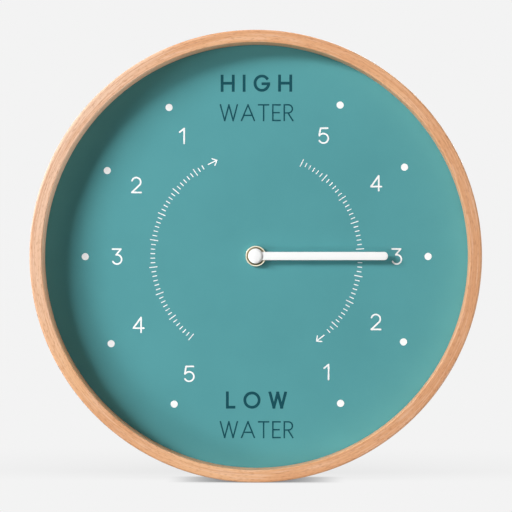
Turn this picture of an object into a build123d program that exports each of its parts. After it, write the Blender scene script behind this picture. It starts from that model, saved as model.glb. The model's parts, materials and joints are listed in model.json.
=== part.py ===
from build123d import *

import os
from math import acos, asin, atan2, cos, hypot, pi, radians, sin, tan

# A wall clock with one hand: a bent-wood ring, a recessed dial and a battery quartz movement.
# Millimetres. Everything is drawn around the hand's axis: X to the right, Z up, and Y is the
# depth behind the ring's front. At the end all of it is moved so that the eye of the hanger
# is the origin.

# Wooden ring
RING_DIAMETER = 300.0
RING_WALL = 8.2  # thickness of the wood at the front
SHOULDER = 2.7  # width of the step that the dial rests on
DIAL_RECESS = 20.0  # from the ring's front to the dial's face
RING_ROUND = 1.4  # rounding of the ring's outer edges
SIGHT_ROUND = 0.6  # rounding of the front opening's edge
WALL_GAP = 3.0  # from the setting knob to the wall

# Dial, board and the clips that hold them
DIAL_THICKNESS = 0.8
BOARD_THICKNESS = 3.2
DISC_GAP = 0.5  # play of both discs in the ring
BUSH_HOLE_GAP = 0.2  # play of the bush in the discs and the hanger
CLIP_COUNT = 6
CLIP_FIRST_ANGLE = 30.0
CLIP_WIDTH = 10.0
CLIP_FOOT = 9.0
CLIP_HEIGHT = 12.0
CLIP_SHEET = 1.0
CLIP_GAP = 0.25  # from the clip's flat back to the ring's round wall
SCREW_RISE = 7.0  # from the board to the clip screw
SCREW_RADIUS = 1.25
SCREW_HOLE_GAP = 0.05
SCREW_TIP_COVER = 1.5  # wood left outside the screw's tip
SCREW_HEAD_RADIUS = 2.6
SCREW_HEAD_HEIGHT = 1.7
SCREW_SLOT_WIDTH = 0.7
SCREW_SLOT_DEPTH = 0.9

# Hanger and washers
HANGER_SHEET = 1.0
HANGER_WIDTH = 16.0
HANGER_BEND = 1.6  # outer radius of the bends
HANGER_CLEARANCE = 0.8  # from the movement's top to the hanger
EYE_RADIUS = 3.5
EYE_RISE = 13.0  # from the movement's top to the eye
EYE_SETBACK = 3.0  # from the eye's sheet to the wall
RUBBER_THICKNESS = 1.0
RUBBER_RADIUS = 9.0
DIAL_WASHER_THICKNESS = 0.5
DIAL_WASHER_RADIUS = 6.4

# Bush and nut
BUSH_RADIUS = 4.0
BUSH_FLANGE_RADIUS = 5.5
BUSH_FLANGE = 0.8
BUSH_PROUD = 0.4  # end of the bush beyond the nut
NUT_RADIUS = 7.0
NUT_THICKNESS = 2.5
NUT_CHAMFER = 0.25
NUT_RIM = 0.85  # flat rim round the dished front
NUT_DISH = 0.95
NUT_FLUTES = 48
NUT_FLUTE_DEPTH = 0.22
NUT_FIT = 0.05

# Hand
HAND_LENGTH = 88.2
HAND_WIDTH = 5.5
HAND_THICKNESS = 0.8
HAND_TIP_ROUND = 2.4
HAND_EDGE = 0.25
EYE_DISC_RADIUS = 5.0
COLLET_RADIUS = 3.6
COLLET_LENGTH = 1.8
HAND_CLEARANCE = 0.4  # from the bush's end to the collet
CAP_RADIUS = 4.4
CAP_HEIGHT = 1.2
CAP_RIM = 0.3
CAP_STEM = 2.6

# Fits of turning parts
RUNNING_FIT = 0.08
END_PLAY = 0.1
HOUR_TUBE_RADIUS = 2.5
CENTRE_JOURNAL_RADIUS = 1.5
CENTRE_PIVOT_RADIUS = 0.6
ARBOR_RADIUS = 0.8
PIVOT_RADIUS = 0.45
PIVOT_LENGTH = 0.7

# Gear teeth
MOTION_MODULE = 0.3  # hour wheel, setting wheel and centre arbor
TRAIN_MODULE = 0.25  # from the motor to the centre wheel
PRESSURE_ANGLE = 25.0
ADDENDUM = 0.9
DEDENDUM = 1.25
BACKLASH = 0.08
HOUR_TEETH = 48
SETTING_PINION_TEETH = 12
SETTING_TEETH = 45
CENTRE_PINION_TEETH = 15
CENTRE_TEETH = 60
SECOND_PINION_TEETH = 10
SECOND_TEETH = 60
FIRST_PINION_TEETH = 10
FIRST_TEETH = 50
ROTOR_TEETH = 10

# Where the arbors stand: directions as seen from the front, from the axis that each one meshes with
SETTING_DIRECTION = -10.0
SECOND_DIRECTION = 80.0
FIRST_DIRECTION = 150.0
ROTOR_DIRECTION = 200.0

# Thickness of the wheels, and the gaps between their levels
HOUR_WHEEL_THICKNESS = 1.2
WHEEL_THICKNESS = 1.0
PINION_OVERLAP = 0.4  # how far a pinion stands past its wheel on each side
LEVEL_GAP = 0.6
CLUTCH_THICKNESS = 0.3
CLUTCH_RADIUS = 2.2
CLUTCH_PLAY = 0.03
CLUTCH_FLANGE = 0.5

# Movement box
CASE_WALL = 1.2
CASE_CORNER = 4.0
CASE_DEPTH = 16.5
GEAR_GAP = 1.0  # from the lowest wheel to the battery's partition
PARTITION = 1.0
TONGUE_WIDTH = 6.0
TONGUE_LENGTH = 7.0
TONGUE_NIB = 1.2
TONGUE_GAP = 0.1
TONGUE_RISE = 17.0  # from the middle of the box to the snap tongues
RIM_HEIGHT = 0.8
RIM_WIDTH = 0.8
RIM_GAP = 0.15

# Setting knob
KNOB_RADIUS = 6.0
KNOB_HEIGHT = 2.2
KNOB_GAP = 0.3
KNOB_FLUTES = 30
KNOB_FLUTE_DEPTH = 0.3
KNOB_DISH = 0.6

# Battery (AA) and its contacts
BATTERY_RADIUS = 7.1
BATTERY_LENGTH = 49.5
BATTERY_EDGE = 0.6
NUB_RADIUS = 2.75
NUB_LENGTH = 1.0
BAY_GAP = 0.7  # play around the battery
BATTERY_SEAT = 0.3
CONTACT_ROOM = 1.55  # at each end of the battery
CONTACT_SHEET = 0.4
CONTACT_TOUCH = 0.05
CONTACT_HALF_HEIGHT = 4.5
CONTACT_WIDTH = 6.0
RIB_THICKNESS = 1.6
RIB_HEIGHT = 3.2
RIB_SPACING = 30.0
WINDOW_EDGE = 0.3  # from the bay's walls to the opening in the cover

# Stepping motor
STATOR_LENGTH = 30.0
STATOR_WIDTH = 8.4
STATOR_SHEET = 1.2
STATOR_LEVEL = 4.0
ROTOR_HOLE_RADIUS = 3.4
MAGNET_RADIUS = 2.8
MAGNET_HEIGHT = 3.4
ROTOR_SLEEVE_RADIUS = 1.3
STATOR_NOTCH = 0.5
NOTCH_DIRECTION = 45.0
POST_RADIUS = 1.7
PEG_RADIUS = 0.8
PEG_FIT = 0.05
PEG_PROUD = 0.4
CORE_ARM = 5.0
CORE_BAR = 3.0
BOBBIN_WALL = 0.7
BOBBIN_FLANGE = 7.0
BOBBIN_FLANGE_THICKNESS = 0.8
WINDING_DEPTH = 1.1
COIL_GAP = 0.5
CORE_FIT = 0.1

# Circuit board
CIRCUIT_WIDTH = 12.5
CIRCUIT_HEIGHT = 17.0
CIRCUIT_THICKNESS = 1.0
CIRCUIT_LEVEL = 3.0
CIRCUIT_MARGIN = 1.0
CRYSTAL_RADIUS = 1.0
CRYSTAL_LENGTH = 6.2
CHIP_RADIUS = 2.6
CHIP_HEIGHT = 1.1
LEAD_WIDTH = 2.6

# Depths from the front to the back of the clock
ring_r = RING_DIAMETER / 2
sight_r = ring_r - RING_WALL
rabbet_r = sight_r + SHOULDER
disc_r = rabbet_r - DISC_GAP
dial_y = DIAL_RECESS
board_y = dial_y + DIAL_THICKNESS
board_back = board_y + BOARD_THICKNESS
hanger_y = board_back + RUBBER_THICKNESS
case_y = hanger_y + HANGER_SHEET
case_back = case_y + CASE_DEPTH
floor_y = case_y + CASE_WALL
roof_y = case_back - CASE_WALL
knob_y = case_back + KNOB_GAP
knob_back = knob_y + KNOB_HEIGHT
wall_y = knob_back + WALL_GAP
eye_back = wall_y - EYE_SETBACK

# Depths of the hand and what holds the movement on the dial
nut_back = dial_y - DIAL_WASHER_THICKNESS
nut_y = nut_back - NUT_THICKNESS
bush_y = nut_y - BUSH_PROUD
collet_back = bush_y - HAND_CLEARANCE
hand_back = collet_back - COLLET_LENGTH
hand_y = hand_back - HAND_THICKNESS
hole_r = BUSH_RADIUS + BUSH_HOLE_GAP
tube_bore = CENTRE_JOURNAL_RADIUS + RUNNING_FIT
bush_bore = HOUR_TUBE_RADIUS + RUNNING_FIT
arbor_front = hand_y + CAP_STEM + LEVEL_GAP

# Levels of the wheels inside the box
hour_y = floor_y + BUSH_FLANGE + END_PLAY
hour_back = hour_y + HOUR_WHEEL_THICKNESS
setting_y = hour_back + LEVEL_GAP + PINION_OVERLAP
setting_back = setting_y + WHEEL_THICKNESS
centre_pinion_back = setting_back + PINION_OVERLAP
clutch_y = centre_pinion_back + LEVEL_GAP
centre_y = clutch_y + CLUTCH_THICKNESS + CLUTCH_PLAY
centre_back = centre_y + WHEEL_THICKNESS
second_y = centre_back + PINION_OVERLAP + LEVEL_GAP
second_back = second_y + WHEEL_THICKNESS
first_y = second_back + PINION_OVERLAP + LEVEL_GAP
first_back = first_y + WHEEL_THICKNESS


def pitch_distance(module, teeth, other_teeth):
    return module * (teeth + other_teeth) / 2


def tip_radius(module, teeth):
    return module * (teeth / 2 + ADDENDUM)


def away_from(point, direction, distance):
    angle = radians(direction)
    return (point[0] + distance * cos(angle), point[1] + distance * sin(angle))


# Places of the arbors, as X and Z from the hand's axis
centre_at = (0.0, 0.0)
setting_at = away_from(
    centre_at,
    SETTING_DIRECTION,
    pitch_distance(MOTION_MODULE, HOUR_TEETH, SETTING_PINION_TEETH),
)
second_at = away_from(
    centre_at,
    SECOND_DIRECTION,
    pitch_distance(TRAIN_MODULE, CENTRE_TEETH, SECOND_PINION_TEETH),
)
first_at = away_from(
    second_at,
    FIRST_DIRECTION,
    pitch_distance(TRAIN_MODULE, SECOND_TEETH, FIRST_PINION_TEETH),
)
rotor_at = away_from(
    first_at,
    ROTOR_DIRECTION,
    pitch_distance(TRAIN_MODULE, FIRST_TEETH, ROTOR_TEETH),
)

# Motor: the iron strip stands around the rotor, and the coil beside it
stator_low = rotor_at[1] - STATOR_LENGTH / 2
stator_top = rotor_at[1] + STATOR_LENGTH / 2
stator_right = rotor_at[0] + STATOR_WIDTH / 2
coil_x = rotor_at[0] - STATOR_WIDTH / 2 - COIL_GAP - BOBBIN_FLANGE / 2
coil_low = stator_low + CORE_ARM + COIL_GAP
coil_top = stator_top - CORE_ARM - COIL_GAP

# Circuit board: right of the second wheel and above the setting wheel
setting_reach = tip_radius(MOTION_MODULE, SETTING_TEETH)
second_reach = tip_radius(TRAIN_MODULE, SECOND_TEETH)
circuit_left = second_at[0] + second_reach + GEAR_GAP
circuit_right = circuit_left + CIRCUIT_WIDTH
circuit_low = setting_at[1] + setting_reach + GEAR_GAP
circuit_top = circuit_low + CIRCUIT_HEIGHT
riser_left = setting_at[0] + setting_reach + GEAR_GAP

# The movement's box: square, and large enough for the battery, the motor and the circuit
inner_half = max(
    (BATTERY_LENGTH + NUB_LENGTH) / 2 + CONTACT_ROOM,
    BOBBIN_FLANGE / 2 + COIL_GAP - coil_x,
    circuit_right + CIRCUIT_MARGIN,
)
lowest_wheel = min(
    setting_at[1] - setting_reach,
    -tip_radius(TRAIN_MODULE, CENTRE_TEETH),
    -tip_radius(MOTION_MODULE, HOUR_TEETH),
    stator_low,
)
partition_top = lowest_wheel - GEAR_GAP
partition_low = partition_top - PARTITION
battery_z = partition_low - BAY_GAP - BATTERY_RADIUS
bay_low = battery_z - BATTERY_RADIUS - BAY_GAP
inner_top = max(
    bay_low + 2 * inner_half,
    stator_top + COIL_GAP,
    circuit_top + CIRCUIT_MARGIN,
    first_at[1] + tip_radius(TRAIN_MODULE, FIRST_TEETH) + GEAR_GAP,
)
inner_half = max(inner_half, (inner_top - bay_low) / 2)
case_half = inner_half + CASE_WALL
case_low = bay_low - CASE_WALL
case_top = inner_top + CASE_WALL
case_mid = (case_low + case_top) / 2
battery_y = floor_y + BATTERY_SEAT + BATTERY_RADIUS
nub_x = inner_half - CONTACT_SHEET - CONTACT_TOUCH
battery_end = nub_x - NUB_LENGTH
battery_start = battery_end - BATTERY_LENGTH
eye_z = case_top + EYE_RISE
tongue_thickness = CASE_WALL / 2

# Levels and posts of the motor and the circuit board
stator_y = floor_y + STATOR_LEVEL
core_y = stator_y + STATOR_SHEET
core_back = core_y + STATOR_SHEET
coil_y = (core_y + core_back) / 2
stator_posts = [
    (rotor_at[0], stator_low + CORE_ARM / 2),
    (rotor_at[0], stator_top - CORE_ARM / 2),
]
circuit_y = floor_y + CIRCUIT_LEVEL
circuit_back = circuit_y + CIRCUIT_THICKNESS
circuit_posts = [
    (circuit_left + 2 * POST_RADIUS, circuit_top - 2 * POST_RADIUS),
    (circuit_right - 2 * POST_RADIUS, circuit_top - 2 * POST_RADIUS),
]


def prism(sketch, front, back, at=(0.0, 0.0)):
    """A flat shape, drawn in X and Z as seen from the front, filled between two depths."""
    plane = Plane(origin=(at[0], back, at[1]), x_dir=(1, 0, 0), z_dir=(0, -1, 0))
    return extrude(plane * sketch, amount=back - front, dir=(0, -1, 0))


def disc(radius, front, back, at=(0.0, 0.0)):
    return prism(Circle(radius), front, back, at)


def block(left, right, front, back, low, top):
    middle = ((left + right) / 2, (low + top) / 2)
    return prism(Rectangle(right - left, top - low), front, back, middle)


def turned(points, axis=Axis.Y):
    """A closed outline of radius and depth, turned around the axis."""
    return revolve(make_face(Polyline(*points, close=True)), axis)


def polar(radius, angle):
    return (radius * cos(angle), radius * sin(angle))


def gear(module, teeth, turn, front, back, at):
    """An involute spur gear with one tooth pointing along the angle turn."""
    pitch_r = module * teeth / 2
    base_r = pitch_r * cos(radians(PRESSURE_ANGLE))
    root_r = pitch_r - DEDENDUM * module
    tip_r = tip_radius(module, teeth)
    flank_r = max(base_r, root_r)

    def half_angle(radius):
        slope = acos(min(1.0, base_r / radius))
        pitch_slope = radians(PRESSURE_ANGLE)
        unwound = (tan(pitch_slope) - pitch_slope) - (tan(slope) - slope)
        return pi / (2 * teeth) - BACKLASH / (4 * pitch_r) + unwound

    middle_r = (flank_r + tip_r) / 2
    edges = []
    for tooth in range(teeth):
        axis_angle = turn + 2 * pi * tooth / teeth
        next_angle = axis_angle + 2 * pi / teeth
        start = polar(root_r, axis_angle - half_angle(flank_r))
        low = polar(flank_r, axis_angle - half_angle(flank_r))
        mid = polar(middle_r, axis_angle - half_angle(middle_r))
        high = polar(tip_r, axis_angle - half_angle(tip_r))
        far_high = polar(tip_r, axis_angle + half_angle(tip_r))
        far_mid = polar(middle_r, axis_angle + half_angle(middle_r))
        far_low = polar(flank_r, axis_angle + half_angle(flank_r))
        finish = polar(root_r, axis_angle + half_angle(flank_r))
        following = polar(root_r, next_angle - half_angle(flank_r))
        if root_r < base_r:
            edges.append(Line(start, low))
        edges.append(ThreePointArc(low, mid, high))
        edges.append(Line(high, far_high))
        edges.append(ThreePointArc(far_high, far_mid, far_low))
        if root_r < base_r:
            edges.append(Line(far_low, finish))
        edges.append(Line(finish, following))
    return prism(make_face(edges), front, back, at)


def meshing_turn(at, teeth, turn, other_at, other_teeth):
    """Angle of the other gear's first tooth that puts its spaces over this gear's teeth."""
    line = atan2(other_at[1] - at[1], other_at[0] - at[0])
    share = (line - turn) * teeth / (2 * pi)
    return line + pi - (0.5 - share) * 2 * pi / other_teeth


def fluted_disc(radius, depth, flutes, front, back, at):
    """A disc whose edge is cut with V-shaped flutes."""
    step = pi / flutes
    points = [
        polar(radius - depth * (index % 2), step * index) for index in range(2 * flutes)
    ]
    return prism(make_face(Polyline(*points, close=True)), front, back, at)


def arbor(at, front, back, radius):
    """A round arbor between floor and cover, with a thin pivot at each end."""
    pivots = disc(PIVOT_RADIUS, floor_y - PIVOT_LENGTH, roof_y + PIVOT_LENGTH, at)
    return disc(radius, front, back, at) + pivots


def make_wood_ring():
    outline = Polyline(
        (sight_r, 0),
        (ring_r, 0),
        (ring_r, wall_y),
        (rabbet_r, wall_y),
        (rabbet_r, dial_y),
        (sight_r, dial_y),
        close=True,
    )
    profile = make_face(outline)
    profile = fillet([v for v in profile.vertices() if v.X > ring_r - 0.01], RING_ROUND)
    opening = [v for v in profile.vertices() if v.X < sight_r + 0.01 and v.Y < 0.01]
    ring = revolve(fillet(opening, SIGHT_ROUND), Axis.Y)
    for angle in clip_angles():
        ring -= screw_shank(SCREW_RADIUS + SCREW_HOLE_GAP, angle)
    return ring


def make_dial_plate():
    return prism(Circle(disc_r) - Circle(hole_r), dial_y, board_y)


def make_backing_board():
    return prism(Circle(disc_r) - Circle(hole_r), board_y, board_back)


def clip_angles():
    return [CLIP_FIRST_ANGLE + 360 * index / CLIP_COUNT for index in range(CLIP_COUNT)]


def around(shape, angle):
    """Turn a shape about the hand's axis, counter-clockwise as seen from the front."""
    return shape.rotate(Axis.Y, -angle)


def clip_back():
    return rabbet_r - CLIP_GAP


def screw_shank(radius, angle):
    inside = clip_back() - CLIP_SHEET
    length = ring_r - SCREW_TIP_COVER - inside
    plane = Plane(
        origin=(inside, board_back + SCREW_RISE, 0), x_dir=(0, 1, 0), z_dir=(1, 0, 0)
    )
    return around(extrude(plane * Circle(radius), amount=length), angle)


def make_board_clips():
    outer = clip_back()
    upright = block(
        outer - CLIP_SHEET,
        outer,
        board_back,
        board_back + CLIP_HEIGHT,
        -CLIP_WIDTH / 2,
        CLIP_WIDTH / 2,
    )
    foot = block(
        outer - CLIP_FOOT,
        outer,
        board_back,
        board_back + CLIP_SHEET,
        -CLIP_WIDTH / 2,
        CLIP_WIDTH / 2,
    )
    clip = upright + foot - screw_shank(SCREW_RADIUS + SCREW_HOLE_GAP, 0)
    return Compound([around(clip, angle).solid() for angle in clip_angles()])


def make_clip_screws():
    seat = clip_back() - CLIP_SHEET
    height = board_back + SCREW_RISE
    plane = Plane(origin=(seat, height, 0), x_dir=(0, 1, 0), z_dir=(-1, 0, 0))
    crown = SCREW_HEAD_HEIGHT - SCREW_SLOT_DEPTH / 2
    head = extrude(plane * Circle(SCREW_HEAD_RADIUS), amount=SCREW_HEAD_HEIGHT)
    top_edge = head.edges().group_by(Axis.X)[0]
    head = fillet(top_edge, crown / 2)
    slot_front = seat - SCREW_HEAD_HEIGHT
    slot_length = SCREW_HEAD_RADIUS * 1.1
    for tall, wide in ((slot_length, SCREW_SLOT_WIDTH), (SCREW_SLOT_WIDTH, slot_length)):
        head -= block(
            slot_front,
            slot_front + SCREW_SLOT_DEPTH,
            height - wide / 2,
            height + wide / 2,
            -tall / 2,
            tall / 2,
        )
    screw = head + screw_shank(SCREW_RADIUS, 0)
    return Compound([around(screw, angle).solid() for angle in clip_angles()])


def make_rubber_washer():
    return prism(Circle(RUBBER_RADIUS) - Circle(hole_r), board_back, hanger_y)


def make_hanger_plate():
    """One strip: flat behind the board, back over the movement, then up to the eye."""
    low = case_top + HANGER_CLEARANCE
    foot = -HANGER_WIDTH / 2
    top = eye_z + HANGER_WIDTH / 2
    outline = Polyline(
        (hanger_y, foot),
        (hanger_y, low + HANGER_SHEET),
        (eye_back - HANGER_SHEET, low + HANGER_SHEET),
        (eye_back - HANGER_SHEET, top),
        (eye_back, top),
        (eye_back, low),
        (case_y, low),
        (case_y, foot),
        close=True,
    )
    profile = make_face(outline)
    bends = [v for v in profile.vertices() if low - 0.01 < v.Y < low + HANGER_SHEET + 0.01]
    outer = [
        v
        for v in bends
        if (v.X < case_y - 0.01 and v.Y > low + 0.01)
        or (v.X > eye_back - 0.01 and v.Y < low + 0.01)
    ]
    inner = [v for v in bends if v not in outer]
    rounded = fillet(outer, HANGER_BEND)
    kept = [
        v
        for v in rounded.vertices()
        if any(hypot(v.X - w.X, v.Y - w.Y) < 0.01 for w in inner)
    ]
    rounded = fillet(kept, HANGER_BEND - HANGER_SHEET)
    side = Plane(origin=(-HANGER_WIDTH / 2, 0, 0), x_dir=(0, 1, 0), z_dir=(1, 0, 0))
    strip = extrude(side * rounded, amount=HANGER_WIDTH)
    end_r = HANGER_WIDTH / 2
    ends = Circle(end_r) + Pos(0, eye_z) * Circle(end_r)
    shape = ends + Pos(0, eye_z / 2) * Rectangle(HANGER_WIDTH, eye_z)
    strip &= prism(shape, hanger_y, eye_back)
    strip -= disc(hole_r, hanger_y, case_y)
    return strip - disc(EYE_RADIUS, eye_back - HANGER_SHEET, eye_back, (0, eye_z))


def make_threaded_bush():
    stem = disc(BUSH_RADIUS, bush_y, floor_y)
    flange = disc(BUSH_FLANGE_RADIUS, floor_y, floor_y + BUSH_FLANGE)
    return stem + flange - disc(bush_bore, bush_y, floor_y + BUSH_FLANGE)


def make_dial_washer():
    return prism(Circle(DIAL_WASHER_RADIUS) - Circle(hole_r), nut_back, dial_y)


def make_fixing_nut():
    bore = BUSH_RADIUS + NUT_FIT
    blank = turned(
        [
            (bore, nut_y + NUT_DISH),
            (NUT_RADIUS - NUT_RIM, nut_y),
            (NUT_RADIUS - NUT_CHAMFER, nut_y),
            (NUT_RADIUS, nut_y + NUT_CHAMFER),
            (NUT_RADIUS, nut_back),
            (bore, nut_back),
        ]
    )
    return blank & fluted_disc(
        NUT_RADIUS, NUT_FLUTE_DEPTH, NUT_FLUTES, nut_y, nut_back, centre_at
    )


def make_tide_hand():
    blade = Pos(HAND_LENGTH / 2, 0) * Rectangle(HAND_LENGTH, HAND_WIDTH)
    tip = [v for v in blade.vertices() if v.X > HAND_LENGTH - 0.01]
    shape = fillet(tip, HAND_TIP_ROUND) + Circle(EYE_DISC_RADIUS)
    hand = prism(shape, hand_y, hand_back)
    hand = chamfer(hand.faces().sort_by(Axis.Y)[0].edges(), HAND_EDGE)
    return hand - disc(HOUR_TUBE_RADIUS, hand_y, hand_back)


def make_hand_collet():
    ring = Circle(COLLET_RADIUS) - Circle(HOUR_TUBE_RADIUS)
    return prism(ring, hand_back, collet_back)


def make_hand_cap():
    """A shallow dome with a straight rim, and a stem pressed into the hour tube."""
    rim = hand_y - CAP_RIM
    top = hand_y - CAP_HEIGHT
    crown = rim - top
    crown_r = (CAP_RADIUS**2 + crown**2) / (2 * crown)
    half = asin(CAP_RADIUS / crown_r) / 2
    middle = (crown_r * sin(half), top + crown_r * (1 - cos(half)))
    dome = make_face(
        [
            Line((0, hand_y), (CAP_RADIUS, hand_y)),
            Line((CAP_RADIUS, hand_y), (CAP_RADIUS, rim)),
            ThreePointArc((CAP_RADIUS, rim), middle, (0, top)),
            Line((0, top), (0, hand_y)),
        ]
    )
    return revolve(dome, Axis.Y) + disc(tube_bore, hand_y, hand_y + CAP_STEM)


def make_hour_wheel():
    wheel = gear(MOTION_MODULE, HOUR_TEETH, 0, hour_y, hour_back, centre_at)
    tube = disc(HOUR_TUBE_RADIUS, hand_y, hour_back)
    return wheel + tube - disc(tube_bore, hand_y, hour_back)


def make_centre_arbor():
    journal = disc(CENTRE_JOURNAL_RADIUS, arbor_front, centre_pinion_back)
    pinion = gear(
        MOTION_MODULE,
        CENTRE_PINION_TEETH,
        centre_pinion_turn,
        setting_y - PINION_OVERLAP,
        centre_pinion_back,
        centre_at,
    )
    flange_y = centre_back + CLUTCH_PLAY
    seat = disc(ARBOR_RADIUS, centre_pinion_back, flange_y)
    flange = disc(CENTRE_JOURNAL_RADIUS, flange_y, flange_y + CLUTCH_FLANGE)
    pivot = disc(CENTRE_PIVOT_RADIUS, flange_y, roof_y + PIVOT_LENGTH)
    return journal + pinion + seat + flange + pivot


def make_centre_wheel():
    wheel = gear(
        TRAIN_MODULE, CENTRE_TEETH, centre_turn, centre_y, centre_back, centre_at
    )
    return wheel - disc(ARBOR_RADIUS + RUNNING_FIT, centre_y, centre_back)


def make_clutch_spring():
    """A dished washer between the arbor's pinion and the centre wheel."""
    inner = ARBOR_RADIUS
    front = centre_pinion_back
    back = clutch_y + CLUTCH_THICKNESS
    return turned(
        [
            (inner, front),
            (inner + CLUTCH_THICKNESS, front),
            (CLUTCH_RADIUS, clutch_y),
            (CLUTCH_RADIUS, back),
            (CLUTCH_RADIUS - CLUTCH_THICKNESS, back),
            (inner, front + CLUTCH_THICKNESS),
        ]
    )


def make_setting_wheel():
    pinion = gear(
        MOTION_MODULE,
        SETTING_PINION_TEETH,
        setting_pinion_turn,
        hour_y - PINION_OVERLAP,
        hour_back + PINION_OVERLAP,
        setting_at,
    )
    wheel = gear(
        MOTION_MODULE, SETTING_TEETH, setting_turn, setting_y, setting_back, setting_at
    )
    shaft = disc(ARBOR_RADIUS, hour_y - PINION_OVERLAP, knob_back - KNOB_DISH, setting_at)
    pivot = disc(PIVOT_RADIUS, floor_y - PIVOT_LENGTH, hour_y, setting_at)
    return pinion + wheel + shaft + pivot


def make_setting_knob():
    blank = Pos(setting_at[0], 0, setting_at[1]) * turned(
        [
            (ARBOR_RADIUS, knob_y),
            (KNOB_RADIUS, knob_y),
            (KNOB_RADIUS, knob_back - KNOB_FLUTE_DEPTH),
            (KNOB_RADIUS - KNOB_FLUTE_DEPTH, knob_back),
            (KNOB_RADIUS - 2 * KNOB_DISH, knob_back),
            (KNOB_RADIUS - 3 * KNOB_DISH, knob_back - KNOB_DISH),
            (ARBOR_RADIUS, knob_back - KNOB_DISH),
        ]
    )
    return blank & fluted_disc(
        KNOB_RADIUS, KNOB_FLUTE_DEPTH, KNOB_FLUTES, knob_y, knob_back, setting_at
    )


def wheel_and_pinion(at, pinion_teeth, wheel_teeth, wheel_turn, pinion_front, wheel_front):
    """A train wheel with its smaller pinion in front of it on one arbor."""
    pinion = gear(
        TRAIN_MODULE,
        pinion_teeth,
        0,
        pinion_front - PINION_OVERLAP,
        pinion_front + WHEEL_THICKNESS + PINION_OVERLAP,
        at,
    )
    wheel_back = wheel_front + WHEEL_THICKNESS
    wheel = gear(TRAIN_MODULE, wheel_teeth, wheel_turn, wheel_front, wheel_back, at)
    shaft = arbor(at, floor_y + END_PLAY, roof_y - END_PLAY, ARBOR_RADIUS)
    return pinion + wheel + shaft


def make_second_wheel():
    return wheel_and_pinion(
        second_at, SECOND_PINION_TEETH, SECOND_TEETH, second_turn, centre_y, second_y
    )


def make_first_wheel():
    return wheel_and_pinion(
        first_at, FIRST_PINION_TEETH, FIRST_TEETH, first_turn, second_y, first_y
    )


def magnet_front():
    return stator_y + STATOR_SHEET / 2 - MAGNET_HEIGHT / 2


def make_rotor_pinion():
    pinion = gear(
        TRAIN_MODULE,
        ROTOR_TEETH,
        rotor_turn,
        first_y - PINION_OVERLAP,
        first_back + PINION_OVERLAP,
        rotor_at,
    )
    shaft = arbor(rotor_at, floor_y + END_PLAY, roof_y - END_PLAY, ARBOR_RADIUS)
    front = magnet_front()
    sleeve = disc(ROTOR_SLEEVE_RADIUS, front, front + MAGNET_HEIGHT, rotor_at)
    return pinion + shaft + sleeve


def make_rotor_magnet():
    front = magnet_front()
    ring = Circle(MAGNET_RADIUS) - Circle(ROTOR_SLEEVE_RADIUS)
    return prism(ring, front, front + MAGNET_HEIGHT, rotor_at)


def make_stator():
    """Flat iron strip with the rotor's hole and two notches in the hole's edge."""
    left = rotor_at[0] - STATOR_WIDTH / 2
    plate = block(left, stator_right, stator_y, core_y, stator_low, stator_top)
    plate -= disc(ROTOR_HOLE_RADIUS, stator_y, core_y, rotor_at)
    for half_turn in (0, 180):
        notch_at = away_from(rotor_at, NOTCH_DIRECTION + half_turn, ROTOR_HOLE_RADIUS)
        plate -= disc(STATOR_NOTCH, stator_y, core_y, notch_at)
    for post in stator_posts:
        plate -= disc(PEG_RADIUS + PEG_FIT, stator_y, core_y, post)
    return plate


def make_coil_core():
    left = coil_x - CORE_BAR / 2
    right = rotor_at[0] + POST_RADIUS
    core = block(left, coil_x + CORE_BAR / 2, core_y, core_back, stator_low, stator_top)
    core += block(left, right, core_y, core_back, stator_low, stator_low + CORE_ARM)
    core += block(left, right, core_y, core_back, stator_top - CORE_ARM, stator_top)
    for post in stator_posts:
        core -= disc(PEG_RADIUS + PEG_FIT, core_y, core_back, post)
    return core


def coil_block(half_wide, half_deep, low, top):
    return block(
        coil_x - half_wide, coil_x + half_wide, coil_y - half_deep, coil_y + half_deep, low, top
    )


def make_coil_bobbin():
    half_wide = CORE_BAR / 2 + CORE_FIT
    half_deep = STATOR_SHEET / 2 + CORE_FIT
    tube = coil_block(half_wide + BOBBIN_WALL, half_deep + BOBBIN_WALL, coil_low, coil_top)
    half = BOBBIN_FLANGE / 2
    tube += coil_block(half, half, coil_low, coil_low + BOBBIN_FLANGE_THICKNESS)
    tube += coil_block(half, half, coil_top - BOBBIN_FLANGE_THICKNESS, coil_top)
    return tube - coil_block(half_wide, half_deep, coil_low, coil_top)


def make_coil_winding():
    """The wound wire as one plain sleeve with rounded corners."""
    half_wide = CORE_BAR / 2 + CORE_FIT + BOBBIN_WALL
    half_deep = STATOR_SHEET / 2 + CORE_FIT + BOBBIN_WALL
    low = coil_low + BOBBIN_FLANGE_THICKNESS
    top = coil_top - BOBBIN_FLANGE_THICKNESS
    sleeve = coil_block(half_wide + WINDING_DEPTH, half_deep + WINDING_DEPTH, low, top)
    sleeve = fillet(sleeve.edges().filter_by(Axis.Z), WINDING_DEPTH)
    return sleeve - coil_block(half_wide, half_deep, low, top)


def make_circuit_board():
    board = block(
        circuit_left, circuit_right, circuit_y, circuit_back, circuit_low, circuit_top
    )
    for post in circuit_posts:
        board -= disc(PEG_RADIUS + PEG_FIT, circuit_y, circuit_back, post)
    return board


def make_quartz_crystal():
    low = circuit_low + LEAD_WIDTH + CIRCUIT_MARGIN
    x = circuit_right - CRYSTAL_RADIUS - CIRCUIT_MARGIN
    plane = Plane(
        origin=(x, circuit_back + CRYSTAL_RADIUS, low), x_dir=(1, 0, 0), z_dir=(0, 0, 1)
    )
    return extrude(plane * Circle(CRYSTAL_RADIUS), amount=CRYSTAL_LENGTH)


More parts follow.
